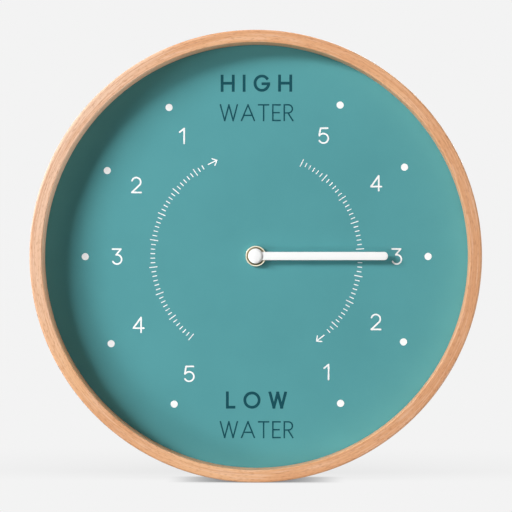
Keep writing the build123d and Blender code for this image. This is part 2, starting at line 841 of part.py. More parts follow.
def make_driver_chip():
    middle = (circuit_low + circuit_top) / 2
    drop = turned(
        [
            (0, circuit_back),
            (CHIP_RADIUS, circuit_back),
            (CHIP_RADIUS, circuit_back + CHIP_HEIGHT / 2),
            (CHIP_RADIUS / 2, circuit_back + CHIP_HEIGHT),
            (0, circuit_back + CHIP_HEIGHT),
        ]
    )
    return Pos(circuit_left + CHIP_RADIUS + CIRCUIT_MARGIN, 0, middle) * drop


def make_positive_contact():
    """A strip along the box's right wall, from the battery's nub to the circuit board."""
    front = battery_y - CONTACT_WIDTH / 2
    strip = block(
        inner_half - CONTACT_SHEET,
        inner_half,
        front,
        front + CONTACT_WIDTH,
        battery_z - CONTACT_HALF_HEIGHT,
        circuit_low + LEAD_WIDTH,
    )
    rise = block(
        inner_half - CONTACT_SHEET,
        inner_half,
        circuit_y - CONTACT_SHEET,
        front + CONTACT_WIDTH,
        circuit_low,
        circuit_low + LEAD_WIDTH,
    )
    tab = block(
        circuit_right - LEAD_WIDTH,
        inner_half,
        circuit_y - CONTACT_SHEET,
        circuit_y,
        circuit_low,
        circuit_low + LEAD_WIDTH,
    )
    return strip + rise + tab


def make_negative_contact():
    """A bent leaf at the battery's flat end, then a strip along the partition to the board."""
    front = battery_y - CONTACT_WIDTH / 2
    wall_x = -inner_half + CONTACT_SHEET
    bow_x = battery_start - CONTACT_TOUCH
    low = battery_z - CONTACT_HALF_HEIGHT
    high = battery_z + CONTACT_HALF_HEIGHT
    flat = CONTACT_HALF_HEIGHT / 3
    face = [
        (wall_x, low),
        (bow_x, battery_z - flat),
        (bow_x, battery_z + flat),
        (wall_x, high),
    ]
    rear = [(x - CONTACT_SHEET, z) for x, z in reversed(face)]
    leaf = make_face(Polyline(*face, *rear, close=True))
    contact = prism(leaf, front, front + CONTACT_WIDTH)
    run_y = circuit_y - LEAD_WIDTH
    top = partition_top + CONTACT_SHEET
    lead_right = riser_left + LEAD_WIDTH
    back = front + CONTACT_WIDTH
    contact += block(-inner_half, wall_x, front, back, high - CONTACT_SHEET, top)
    contact += block(-inner_half, wall_x, run_y, back, partition_top, top)
    contact += block(-inner_half, lead_right, run_y, circuit_y, partition_top, top)
    return contact + block(
        riser_left,
        lead_right,
        circuit_y - CONTACT_SHEET,
        circuit_y,
        partition_top,
        circuit_low + LEAD_WIDTH,
    )


def make_battery_cell():
    length = BATTERY_LENGTH
    profile = make_face(
        Polyline(
            (0, 0),
            (0, BATTERY_RADIUS),
            (length, BATTERY_RADIUS),
            (length, NUB_RADIUS),
            (length + NUB_LENGTH, NUB_RADIUS),
            (length + NUB_LENGTH, 0),
            close=True,
        )
    )
    rims = [v for v in profile.vertices() if v.Y > BATTERY_RADIUS - 0.01]
    rounded = fillet(rims, BATTERY_EDGE)
    nub_rim = [v for v in rounded.vertices() if v.X > length + 0.01 and v.Y > 0.01]
    rounded = fillet(nub_rim, NUB_LENGTH / 3)
    return Pos(battery_start, battery_y, battery_z) * revolve(rounded, Axis.X)


def tongue_places():
    return [
        (side, case_mid + rise) for side in (-1, 1) for rise in (-TONGUE_RISE, TONGUE_RISE)
    ]


def tongue_block(side, middle, inner, outer, front, back, extra):
    """A block in the box's left or right wall, measured from the outside of the wall."""
    half = TONGUE_WIDTH / 2 + extra
    edges = sorted((side * (case_half - inner), side * (case_half - outer)))
    return block(edges[0], edges[1], front, back, middle - half, middle + half)


def make_movement_case():
    outline = Pos(0, case_mid) * RectangleRounded(2 * case_half, 2 * case_half, CASE_CORNER)
    hollow = Pos(0, case_mid) * RectangleRounded(
        2 * inner_half, 2 * inner_half, CASE_CORNER - CASE_WALL
    )
    case = prism(outline, case_y, roof_y) - prism(hollow, floor_y, roof_y)
    case -= disc(BUSH_RADIUS, case_y, floor_y)
    end = inner_half - CIRCUIT_MARGIN
    case += block(-end, end, floor_y, roof_y - END_PLAY, partition_low, partition_top)
    for side in (-1, 1):
        middle = side * RIB_SPACING / 2
        case += block(
            middle - RIB_THICKNESS / 2,
            middle + RIB_THICKNESS / 2,
            floor_y,
            floor_y + RIB_HEIGHT,
            bay_low,
            partition_low,
        )
    bay = Plane(origin=(-end, battery_y, battery_z), x_dir=(0, 1, 0), z_dir=(1, 0, 0))
    case -= extrude(bay * Circle(BATTERY_RADIUS + BATTERY_SEAT), amount=2 * end)
    for post in stator_posts:
        case += disc(POST_RADIUS, floor_y, stator_y, post)
        case += disc(PEG_RADIUS, stator_y, core_back + PEG_PROUD, post)
    for post in circuit_posts:
        case += disc(POST_RADIUS, floor_y, circuit_y, post)
        case += disc(PEG_RADIUS, circuit_y, circuit_back + PEG_PROUD, post)
    for at in (setting_at, second_at, first_at, rotor_at):
        case -= disc(PIVOT_RADIUS + RUNNING_FIT, floor_y - PIVOT_LENGTH - END_PLAY, floor_y, at)
    for side, middle in tongue_places():
        groove = tongue_thickness + TONGUE_GAP
        foot = roof_y - TONGUE_LENGTH - TONGUE_GAP
        case -= tongue_block(side, middle, 0, groove, foot, roof_y, TONGUE_GAP)
        head = foot + TONGUE_NIB + 2 * TONGUE_GAP
        case -= tongue_block(side, middle, 0, CASE_WALL, foot, head, TONGUE_GAP)
    return case


def make_movement_cover():
    outline = Pos(0, case_mid) * RectangleRounded(2 * case_half, 2 * case_half, CASE_CORNER)
    cover = prism(outline, roof_y, case_back)
    side = inner_half - WINDOW_EDGE
    cover -= block(
        -side, side, roof_y, case_back, bay_low + WINDOW_EDGE, partition_low - WINDOW_EDGE
    )
    outer = inner_half - RIM_GAP
    inner = outer - RIM_WIDTH
    low = partition_top + CONTACT_SHEET + RIM_GAP
    high = inner_top - RIM_GAP
    corner = CASE_CORNER - CASE_WALL - RIM_GAP
    rim_mid = (low + high) / 2
    rim = Pos(0, rim_mid) * RectangleRounded(2 * outer, high - low, corner)
    rim -= Pos(0, rim_mid) * RectangleRounded(
        2 * inner, high - low - 2 * RIM_WIDTH, corner - RIM_WIDTH
    )
    cover += prism(rim, roof_y - RIM_HEIGHT, roof_y)
    for side, middle in tongue_places():
        foot = roof_y - TONGUE_LENGTH
        cover += tongue_block(side, middle, 0, tongue_thickness, foot, roof_y, 0)
        nib = CASE_WALL - TONGUE_GAP
        cover += tongue_block(side, middle, 0, nib, foot, foot + TONGUE_NIB, 0)
    for at in (second_at, first_at, rotor_at):
        cover -= disc(PIVOT_RADIUS + RUNNING_FIT, roof_y, roof_y + PIVOT_LENGTH + END_PLAY, at)
    centre_hole = CENTRE_PIVOT_RADIUS + RUNNING_FIT
    cover -= disc(centre_hole, roof_y, roof_y + PIVOT_LENGTH + END_PLAY, centre_at)
    return cover - disc(ARBOR_RADIUS + RUNNING_FIT, roof_y, case_back, setting_at)


# Angles that set each gear's teeth into the spaces of the gear before it
setting_pinion_turn = meshing_turn(
    centre_at, HOUR_TEETH, 0, setting_at, SETTING_PINION_TEETH
)
setting_turn = 0.0
centre_pinion_turn = meshing_turn(
    setting_at, SETTING_TEETH, setting_turn, centre_at, CENTRE_PINION_TEETH
)
centre_turn = meshing_turn(second_at, SECOND_PINION_TEETH, 0, centre_at, CENTRE_TEETH)
second_turn = meshing_turn(first_at, FIRST_PINION_TEETH, 0, second_at, SECOND_TEETH)
first_turn = 0.0
rotor_turn = meshing_turn(first_at, FIRST_TEETH, first_turn, rotor_at, ROTOR_TEETH)

PIECES = {
    "wood_ring": make_wood_ring,
    "dial_plate": make_dial_plate,
    "backing_board": make_backing_board,
    "board_clips": make_board_clips,
    "clip_screws": make_clip_screws,
    "rubber_washer": make_rubber_washer,
    "hanger_plate": make_hanger_plate,
    "threaded_bush": make_threaded_bush,
    "dial_washer": make_dial_washer,
    "fixing_nut": make_fixing_nut,
    "tide_hand": make_tide_hand,
    "hand_collet": make_hand_collet,
    "hand_cap": make_hand_cap,
    "hour_wheel": make_hour_wheel,
    "centre_arbor": make_centre_arbor,
    "centre_wheel": make_centre_wheel,
    "clutch_spring": make_clutch_spring,
    "setting_wheel": make_setting_wheel,
    "setting_knob": make_setting_knob,
    "second_wheel": make_second_wheel,
    "first_wheel": make_first_wheel,
    "rotor_pinion": make_rotor_pinion,
    "rotor_magnet": make_rotor_magnet,
    "stator": make_stator,
    "coil_core": make_coil_core,
    "coil_bobbin": make_coil_bobbin,
    "coil_winding": make_coil_winding,
    "circuit_board": make_circuit_board,
    "quartz_crystal": make_quartz_crystal,
    "driver_chip": make_driver_chip,
    "positive_contact": make_positive_contact,
    "negative_contact": make_negative_contact,
    "battery_cell": make_battery_cell,
    "movement_case": make_movement_case,
    "movement_cover": make_movement_cover,
}


def main():
    os.makedirs("parts", exist_ok=True)
    to_origin = Pos(0, HANGER_SHEET / 2 - eye_back, -eye_z)
    for name, make in PIECES.items():
        export_step(to_origin * make(), f"parts/{name}.step")


if __name__ == "__main__":
    main()
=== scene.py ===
import json
import math
import bmesh
import bpy
import numpy as np
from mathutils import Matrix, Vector


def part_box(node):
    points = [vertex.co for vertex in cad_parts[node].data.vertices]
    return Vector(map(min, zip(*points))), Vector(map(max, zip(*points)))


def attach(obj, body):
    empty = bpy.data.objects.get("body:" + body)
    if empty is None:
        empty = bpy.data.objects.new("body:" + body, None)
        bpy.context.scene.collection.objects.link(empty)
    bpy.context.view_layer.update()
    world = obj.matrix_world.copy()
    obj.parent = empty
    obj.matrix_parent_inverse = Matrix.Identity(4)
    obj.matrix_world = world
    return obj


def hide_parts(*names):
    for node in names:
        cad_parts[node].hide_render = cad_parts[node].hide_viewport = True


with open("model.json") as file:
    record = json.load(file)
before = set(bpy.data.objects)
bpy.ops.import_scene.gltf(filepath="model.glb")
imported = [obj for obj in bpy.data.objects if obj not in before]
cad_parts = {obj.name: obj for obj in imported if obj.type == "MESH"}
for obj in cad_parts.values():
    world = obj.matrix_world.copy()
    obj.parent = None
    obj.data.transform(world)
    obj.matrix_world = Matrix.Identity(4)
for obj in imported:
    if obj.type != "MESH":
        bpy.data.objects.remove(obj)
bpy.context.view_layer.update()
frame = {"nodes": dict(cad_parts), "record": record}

mm = 0.001
fullTurn = 2 * math.pi


def middle(node):
    # centre of a CAD node's box
    low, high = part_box(node)
    return (low + high) / 2


hub = middle("fixing_nut")  # the hand's axis runs along Y through here
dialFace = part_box("dial_plate")[0].y
print("frame loaded, hub at", [round(value, 5) for value in hub])


# shader wiring

def tint(red, green, blue):
    # 0-255 screen colour to the linear colour that a shader takes
    screen = np.array([red, green, blue]) / 255
    linear = np.where(screen <= 0.04045, screen / 12.92, ((screen + 0.055) / 1.055) ** 2.4)
    return (*linear.tolist(), 1.0)


class Wire:
    # a socket of a node tree; + - * / on wires and numbers add Math nodes
    def __init__(self, tree, socket=None):
        self.tree, self.socket = tree, socket

    def node(self, kind, settings=None, sockets=None, out=0):
        # any node: its settings come first, then values or links on its sockets
        made = self.tree.nodes.new(kind)
        for key, value in (settings or {}).items():
            setattr(made, key, value)
        for key, value in (sockets or {}).items():
            if isinstance(value, Wire):
                self.tree.links.new(value.socket, made.inputs[key])
            else:
                made.inputs[key].default_value = value
        return Wire(self.tree, made.outputs[out] if made.outputs else None)

    def out(self, name):
        return Wire(self.tree, self.socket.node.outputs[name])

    def calc(self, operation, *values):
        return self.node("ShaderNodeMath", {"operation": operation}, dict(enumerate(values)))

    def __add__(self, other): return self.calc("ADD", self, other)
    def __radd__(self, other): return self.calc("ADD", other, self)
    def __sub__(self, other): return self.calc("SUBTRACT", self, other)
    def __rsub__(self, other): return self.calc("SUBTRACT", other, self)
    def __mul__(self, other): return self.calc("MULTIPLY", self, other)
    def __truediv__(self, other): return self.calc("DIVIDE", self, other)
    def __lt__(self, other): return self.calc("LESS_THAN", self, other)
    def __gt__(self, other): return self.calc("GREATER_THAN", self, other)
    def __abs__(self): return self.calc("ABSOLUTE", self)

    def place(self, sheet="Object"):
        # the point on the piece, in metres, or with "UV" its place on the piece's own sheet
        return self.node("ShaderNodeTexCoord", out=sheet)

    def split(self, sheet="Object"):
        # that place as separate X, Y and Z
        return self.node("ShaderNodeSeparateXYZ", None, {"Vector": self.place(sheet)})

    def stretched(self, scales, turn=0.0):
        # the point with each axis scaled, so that a pattern runs long one way
        return self.node("ShaderNodeMapping", None,
                         {"Vector": self.place(), "Rotation": (0, turn, 0), "Scale": scales})

    def noise(self, vector, size, detail=3.0, rough=0.55):
        # cloudy value, about 0.5, with features about `size` metres long
        return self.node("ShaderNodeTexNoise", None, {
            "Vector": vector, "Scale": 1 / size, "Detail": detail, "Roughness": rough})

    def between(self, low, high):
        # 0 below low, 1 above high, smooth in the middle
        return self.node("ShaderNodeMapRange", {"interpolation_type": "SMOOTHSTEP"},
                         {"Value": self, "From Min": low, "From Max": high})

    def mixed(self, first, second):
        # colour: first where this wire is 0, second where it is 1
        return self.node("ShaderNodeMix", {"data_type": "RGBA"}, {0: self, 6: first, 7: second}, out=2)

    def bump(self, strength, distance):
        return self.node("ShaderNodeBump", None,
                         {"Height": self, "Strength": strength, "Distance": distance})

    def surface(self, **sockets):
        names = {key.replace("_", " "): value for key, value in sockets.items()}
        return self.node("ShaderNodeBsdfPrincipled", None, names)


def newLook(name, paint, *values):
    # a material whose shader is what paint() returns
    look = bpy.data.materials.new(name)
    look.use_nodes = True
    look.node_tree.nodes.clear()
    wire = Wire(look.node_tree)
    wire.node("ShaderNodeOutputMaterial", None, {"Surface": paint(wire, *values)})
    return look


# finishes

beech = {
    # the palest colour serves both the pale silk streaks of the grain and the painted sheen on the lamp's side
    "pale": tint(231, 180, 135), "warm": tint(222, 164, 119), "paleAndSheen": tint(238, 203, 178),
    "tan": tint(208, 150, 107), "line": tint(200, 138, 94), "fleck": tint(168, 104, 64),
    # where round the ring the strip is palest (painted sheen on the side the key lamp lights) and brownest (painted
    # shade on the side away from it), in degrees, and how near to it that begins (1 is there)
    "sheenTurn": 152.0, "shadeTurn": 350.0, "turnNear": 0.45, "sheenWander": -0.2,
    # length of the marks, times longer than wide, detail, then the noise at which they begin and are full
    "clouds": (0.110, 9.0, 2.0, 0.3, 0.72), "lines": (0.060, 80.0, 2.0, 0.42, 0.66),
    "silk": (0.022, 30.0, 1.0, 0.5, 0.72), "flecks": (0.0034, 6.0, 1.0, 0.52, 0.72),
    # how much of each colour shows
    "sheenShare": 0.82, "tanShadeShare": 0.6, "lineShare": 0.55, "silkShare": 0.34, "fleckShare": 0.42,
    "grainRadius": 0.1455, "rough": 0.46, "bump": 0.25, "bumpDepth": 0.00005, "specular": 0.35,
}


def fromHub(wire):
    # sideways, upward and straight distance from the hand's axis
    point = wire.split()
    across, up = point.out("X") - hub.x, point.out("Z") - hub.z
    return across, up, wire.calc("SQRT", across * across + up * up)


def paintBeech(wire):
    # the grain follows the ring: noise on (direction from the axis, length along the profile)
    across, up, radius = fromHub(wire)
    profile, reach = wire.split("UV"), beech["grainRadius"]

    def along(length, slim, detail, low, high):
        vector = wire.node("ShaderNodeCombineXYZ", None, {
            "X": across / radius * reach, "Y": up / radius * reach, "Z": profile.out("Y") * slim})
        return wire.noise(vector, length, detail).between(low, high)

    def towards(turn):
        # 1 on that side of the ring, -1 on the other
        turn = math.radians(turn)
        return (across * math.cos(turn) + up * math.sin(turn)) / radius

    clouds, lines, silk, flecks = [along(*beech[name]) for name in ("clouds", "lines", "silk", "flecks")]
    # painted sheen: the strip turns paler towards the key lamp's side; painted shade: browner on the side away from
    # it
    paleAndSheen = (towards(beech["sheenTurn"]) + clouds * beech["sheenWander"]).between(beech["turnNear"], 1.0)
    tan = towards(beech["shadeTurn"]).between(beech["turnNear"], 1.0)
    wood = clouds.mixed(beech["pale"], beech["warm"])
    wood = (paleAndSheen * beech["sheenShare"]).mixed(wood, beech["paleAndSheen"])
    wood = (tan * beech["tanShadeShare"]).mixed(wood, beech["tan"])
    wood = (lines * beech["lineShare"]).mixed(wood, beech["line"])
    wood = (silk * beech["silkShare"]).mixed(wood, beech["paleAndSheen"])
    wood = (flecks * beech["fleckShare"]).mixed(wood, beech["fleck"])
    relief = (lines * 0.5 + flecks) * -1.0
    return wire.surface(Base_Color=wood, Roughness=beech["rough"] + lines * 0.12 + flecks * 0.1,
                        Normal=relief.bump(beech["bump"], beech["bumpDepth"]),
                        Specular_IOR_Level=beech["specular"])


tealPrint = {"base": tint(84, 158, 163), "deep": tint(80, 153, 158), "grain": 0.0004, "cloud": 0.05,
             "rough": 0.6, "bump": 0.1, "bumpDepth": 0.00001, "specular": 0.25}


def paintTeal(wire):
    # screen-printed sheet: nearly even, with a faint cloud and a fine tooth
    cloud = wire.noise(wire.place(), tealPrint["cloud"])
    tooth = wire.noise(wire.place(), tealPrint["grain"], 1.0)
    shade = (cloud * 0.7 + tooth * 0.3).between(0.3, 0.7)
    return wire.surface(Base_Color=shade.mixed(tealPrint["base"], tealPrint["deep"]),
                        Roughness=tealPrint["rough"] + tooth * 0.12,
                        Normal=tooth.bump(tealPrint["bump"], tealPrint["bumpDepth"]),
                        Specular_IOR_Level=tealPrint["specular"])


# printed inks: full and thin colour
inks = {
    "whiteInk": (tint(254, 255, 255), tint(246, 251, 251)),
    "darkTealInk": (tint(12, 75, 85), tint(18, 84, 93)),
}
inkSkin = {"patch": 0.0016, "rough": 0.55, "specular": 0.15}


def paintInk(wire, full, thin):
    # a little thinner in small patches
    patch = wire.noise(wire.place(), inkSkin["patch"]).between(0.5, 0.8)
    return wire.surface(Base_Color=patch.mixed(full, thin), Roughness=inkSkin["rough"] + patch * 0.1,
                        Specular_IOR_Level=inkSkin["specular"])


# smooth and moulded finishes: two close colours, roughness, size of the grain in metres, depth of the grain
coats = {
    "white_paint": (tint(252, 252, 251), tint(248, 248, 247), 0.42, 0.0009, 0.06),
    "white_plastic": (tint(251, 251, 250), tint(246, 246, 246), 0.4, 0.0012, 0.03),
    "black_abs": (tint(36, 36, 37), tint(45, 45, 46), 0.52, 0.00045, 0.35),
    "knob_grey": (tint(92, 93, 96), tint(104, 105, 108), 0.48, 0.0004, 0.3),
    "gear_plastic": (tint(237, 233, 222), tint(226, 221, 207), 0.4, 0.0006, 0.08),
    "magnet_black": (tint(74, 74, 78), tint(88, 88, 92), 0.45, 0.0002, 0.2),
    "chip_black": (tint(28, 28, 30), tint(40, 40, 42), 0.3, 0.0014, 0.2),
    "black_rubber": (tint(38, 38, 38), tint(50, 49, 48), 0.72, 0.0003, 0.3),
}
coatSkin = {"cloudTimes": 25, "bumpDepth": 0.00004}  # a cloud is this many grains long


def paintCoat(wire, full, thin, rough, size, depth):
    # moulded or sprayed skin: even tiny grain, slow cloud in tone and gloss
    grain = wire.noise(wire.place(), size, 2.0)
    cloud = wire.noise(wire.place(), size * coatSkin["cloudTimes"]).between(0.3, 0.75)
    tone = cloud * 0.7 + grain.between(0.35, 0.7) * 0.3
    return wire.surface(Base_Color=tone.mixed(full, thin), Roughness=rough + cloud * 0.08 + grain * 0.06,
                        Normal=grain.bump(depth, coatSkin["bumpDepth"]))


# bare and plated metals: two close colours, roughness, lines per metre along X, Y and Z;
# the nut also has a painted highlight: a paler colour on its outer rim, standing for the light caught there, so
# that the dish inside reads as shaded, and the radii where that begins and is full
metals = {
    "nut_brass": (tint(184, 173, 147), tint(160, 150, 125), 0.26, (900, 5000, 900),
                  (tint(216, 209, 188), 6.1 * mm, 6.4 * mm)),
    "zinc_steel": (tint(203, 206, 210), tint(178, 182, 188), 0.34, (1500, 1500, 60)),
    "screw_steel": (tint(214, 206, 184), tint(192, 184, 162), 0.3, (900, 900, 900)),
    "arbor_steel": (tint(206, 206, 206), tint(184, 184, 186), 0.22, (400, 4000, 400)),
    "iron_sheet": (tint(176, 175, 172), tint(152, 151, 148), 0.42, (60, 1500, 1500)),
    "contact_nickel": (tint(216, 212, 204), tint(194, 190, 182), 0.28, (1500, 60, 1500)),
}
metalSkin = {"stain": 0.006, "bump": 0.12, "bumpDepth": 0.00002}


def paintMetal(wire, full, thin, rough, run, paintedRimHighlight=None):
    # fine lines of rolling or turning over a slow stain in colour and gloss
    lines = wire.noise(wire.stretched(run), 1.0, 2.0)
    stain = wire.noise(wire.place(), metalSkin["stain"]).between(0.35, 0.7)
    colour = (stain * 0.6 + lines * 0.4).mixed(full, thin)
    if paintedRimHighlight:
        # painted highlight: the nut's outer rim paler than its dish, by radius from the hub
        bright, start, end = paintedRimHighlight
        colour = fromHub(wire)[2].between(start, end).mixed(colour, bright)
    return wire.surface(Base_Color=colour, Metallic=1.0, Roughness=rough + lines * 0.14 + stain * 0.06,
                        Normal=lines.bump(metalSkin["bump"], metalSkin["bumpDepth"]))


fibreBoard = {"pale": tint(201, 172, 132), "mid": tint(184, 152, 111), "fibre": tint(138, 106, 70),
              "coarse": 0.03, "fine": 0.0018, "run": (2600, 900, 420), "turns": (0.5, -0.9),
              "rough": 0.78, "bump": 0.2, "bumpDepth": 0.00006, "specular": 0.2}


def paintBoard(wire):
    # pressed fibre: two close browns in fine clouds, with short fibres crossing two ways
    coarse = wire.noise(wire.place(), fibreBoard["coarse"], 2.0)
    fine = wire.noise(wire.place(), fibreBoard["fine"], 4.0, 0.7)
    cloud = (coarse * 0.4 + fine * 0.6).between(0.35, 0.65)
    one, two = [wire.noise(wire.stretched(fibreBoard["run"], turn), 1.0, 2.0) for turn in fibreBoard["turns"]]
    threads = wire.calc("MAXIMUM", one.between(0.6, 0.75), two.between(0.62, 0.76))
    face = (threads * 0.5).mixed(cloud.mixed(fibreBoard["pale"], fibreBoard["mid"]), fibreBoard["fibre"])
    return wire.surface(Base_Color=face, Roughness=fibreBoard["rough"] + threads * 0.1,
                        Normal=(cloud * 0.4 + threads * 0.6).bump(fibreBoard["bump"], fibreBoard["bumpDepth"]),
                        Specular_IOR_Level=fibreBoard["specular"])


circuitBoard = {"resist": tint(34, 104, 62), "track": tint(52, 134, 80), "pitch": 0.0024,
                "wander": 0.004, "wanderSize": 0.008, "rough": 0.36, "bump": 0.2, "bumpDepth": 0.00004}


def paintCircuit(wire):
    # green resist with paler bands where copper runs beneath
    wander = wire.noise(wire.place(), circuitBoard["wanderSize"]) * circuitBoard["wander"]
    wave = (wire.split().out("X") + wander) * (fullTurn / circuitBoard["pitch"])
    tracks = wire.calc("SINE", wave).between(0.2, 0.5)
    return wire.surface(Base_Color=tracks.mixed(circuitBoard["resist"], circuitBoard["track"]),
                        Roughness=circuitBoard["rough"] + tracks * 0.08,
                        Normal=tracks.bump(circuitBoard["bump"], circuitBoard["bumpDepth"]))


# one wire colour in two tones: painted highlight on the ridges, painted shade in the grooves
copperWire = {"litRidge": tint(198, 116, 66), "groove": tint(120, 58, 28), "pitch": 0.00024,
              "metallic": 0.85, "rough": 0.42, "bump": 0.4, "bumpDepth": 0.00006}


def paintCopper(wire):
    # turns of fine enamelled wire: ridges across the coil's length, painted lighter on the ridges and darker in the
    # grooves between turns (painted light and shade)
    low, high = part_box("coil_winding")
    length = wire.split().out("X" if high.x - low.x > high.z - low.z else "Z")
    ridges = wire.calc("SINE", length * (fullTurn / copperWire["pitch"])) * 0.5 + 0.5
    return wire.surface(Base_Color=ridges.mixed(copperWire["groove"], copperWire["litRidge"]),
                        Metallic=copperWire["metallic"], Roughness=copperWire["rough"] - ridges * 0.12,
                        Normal=ridges.bump(copperWire["bump"], copperWire["bumpDepth"]))


cellSleeve = {
    "body": tint(60, 92, 116), "band": tint(206, 210, 212),
    "sign": tint(240, 242, 242), "steel": tint(205, 205, 203),
    # metres from the flat end: the sleeve, the pale band and the middle of each sign
    "sleeve": (0.0012, 0.0478), "bandAt": 0.036, "plusAt": 0.0425, "minusAt": 0.0075,
    "signSize": 0.0021, "signStroke": 0.00042, "signsRound": 3,  # half length, half width, how many round the cell
    "scuff": 0.004, "rough": 0.3,
}


def paintCell(wire):
    # sleeve by the cell's own UV: u round the cell, v metres from the flat end; bare steel at both ends
    sheet = wire.split("UV")
    length = sheet.out("Y")
    low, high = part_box("battery_cell")
    signs = cellSleeve["signsRound"]
    turn = (wire.calc("FRACT", sheet.out("X") * signs + 0.5) - 0.5) * (math.pi * (high.y - low.y) / signs)
    size, stroke = cellSleeve["signSize"], cellSleeve["signStroke"]

    def bar(sideways, lengthways, place):
        return (abs(turn) < sideways) * (abs(length - cellSleeve[place]) < lengthways)

    plus = wire.calc("MAXIMUM", bar(size, stroke, "plusAt"), bar(stroke, size, "plusAt"))
    drawn = wire.calc("MAXIMUM", plus, bar(stroke, size, "minusAt"))
    scuff = wire.noise(wire.place(), cellSleeve["scuff"]).between(0.45, 0.8)
    ground = (length > cellSleeve["bandAt"]).mixed(cellSleeve["body"], cellSleeve["band"])
    inverse = (length > cellSleeve["bandAt"]).mixed(cellSleeve["sign"], cellSleeve["body"])
    printed = (scuff * 0.04).mixed(drawn.mixed(ground, inverse), cellSleeve["sign"])
    bare = 1 - (length > cellSleeve["sleeve"][0]) * (length < cellSleeve["sleeve"][1])
    return wire.surface(Base_Color=bare.mixed(printed, cellSleeve["steel"]), Metallic=bare,
                        Roughness=cellSleeve["rough"] + scuff * 0.1)


looks = {}
for paint, table in ((paintCoat, coats), (paintMetal, metals), (paintInk, inks)):
    looks.update({name: newLook(name, paint, *values) for name, values in table.items()})
for name, paint in (("beech", paintBeech), ("teal_print", paintTeal), ("board_fibre", paintBoard),
                    ("board_green", paintCircuit), ("copper_wire", paintCopper), ("cell_sleeve", paintCell)):
    looks[name] = newLook(name, paint)
for row in frame["record"]["subparts"]:
    for holder in frame["nodes"][row["node"]].material_slots:
        holder.material = looks[row["material_slot"]]
print("finishes made:", len(looks))


# surfaces on grids

def gridFaces(rows, columns):
    # quads between neighbouring points of a rows x columns grid
    first = (np.arange(rows - 1)[:, None] * columns + np.arange(columns - 1)).reshape(-1, 1)
    return first + np.array([0, 1, columns + 1, columns])


def gridShape(x, y, z, u, v):
    # one grid of points with its faces and UVs, from five arrays that broadcast together
    x, y, z, u, v = np.broadcast_arrays(x, y, z, u, v)
    points = np.stack([x, y, z], -1).reshape(-1, 3)
    return points, gridFaces(*x.shape), np.stack([u, v], -1).reshape(-1, 2)


def joined(shapes):
    # several grids as one: their points follow one another and the faces count on
    starts = np.cumsum([0] + [len(points) for points, faces, sheet in shapes])
    return (np.concatenate([points for points, faces, sheet in shapes]),
            np.concatenate([faces + start for (points, faces, sheet), start in zip(shapes, starts)]),
            np.concatenate([sheet for points, faces, sheet in shapes]))


def addPiece(name, shape, look, body, standsFor=(), sharp=32, weld=2e-7):
    # grid to mesh: seams and poles merged, faces turned outwards, smooth but for real edges
    points, faces, sheet = shape
    mesh = bpy.data.meshes.new(name)
    mesh.from_pydata(points.tolist(), [], faces.tolist())
    mesh.uv_layers.new(name="UVMap").data.foreach_set("uv", sheet[faces.ravel()].ravel())
    work = bmesh.new()
    work.from_mesh(mesh)
    bmesh.ops.remove_doubles(work, verts=work.verts, dist=weld)
    bmesh.ops.recalc_face_normals(work, faces=work.faces)
    work.to_mesh(mesh)
    work.free()
    mesh.shade_smooth()
    mesh.set_sharp_from_angle(angle=math.radians(sharp))
    mesh.materials.append(looks[look])
    piece = bpy.data.objects.new(name, mesh)
    bpy.context.scene.collection.objects.link(piece)
    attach(piece, body)
    if standsFor:
        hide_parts(*standsFor)
    print(name, "faces:", len(mesh.polygons))
    return piece


def roundedLoop(corners, radii, steps=7, guard=0.12 * mm):
    # closed outline through the corners, each one an arc of its radius, with a point just before and after it
    corners, radii = np.array(corners, float), np.array(radii, float)[:, None]
    back = np.roll(corners, 1, 0) - corners
    ahead = np.roll(corners, -1, 0) - corners
    back /= np.linalg.norm(back, axis=1, keepdims=True)
    ahead /= np.linalg.norm(ahead, axis=1, keepdims=True)
    half = np.arccos(np.clip((back * ahead).sum(1, keepdims=True), -1, 1)) / 2
    inward = (back + ahead) / np.linalg.norm(back + ahead, axis=1, keepdims=True)
    middles = corners + inward * radii / np.sin(half)
    starts = corners + back * radii / np.tan(half)
    ends = corners + ahead * radii / np.tan(half)
    share = np.linspace(0, 1, steps)[:, None, None]
    sweep = math.pi - 2 * half
    arc = np.sin((1 - share) * sweep) * (starts - middles) + np.sin(share * sweep) * (ends - middles)
    arcs = np.concatenate([(starts + back * guard)[None], arc / np.sin(sweep) + middles,
                           (ends + ahead * guard)[None]])
    loop = arcs.transpose(1, 0, 2).reshape(-1, 2)
    return np.concatenate([loop, loop[:1]])


def turnedShape(profile, centre, steps, along="y", flutes=0, fluteDepth=None):
    # each profile point (radius, place along the axis) goes round the axis; flutes take depth off the radius
    profile = np.asarray(profile, float)
    turn = np.linspace(0, fullTurn, steps + 1)[:, None]
    radius, place = profile[None, :, 0], profile[None, :, 1]
    if flutes:
        radius = radius - fluteDepth[None, :] * (0.5 - 0.5 * np.cos(flutes * turn))
    length = np.concatenate([[0], np.cumsum(np.linalg.norm(np.diff(profile, axis=0), axis=1))])[None, :]
    first, second = radius * np.cos(turn), radius * np.sin(turn)
    if along == "y":
        return gridShape(centre[0] + first, place, centre[2] + second, turn / fullTurn, length)
    return gridShape(place, centre[1] + first, centre[2] + second, turn / fullTurn, place)


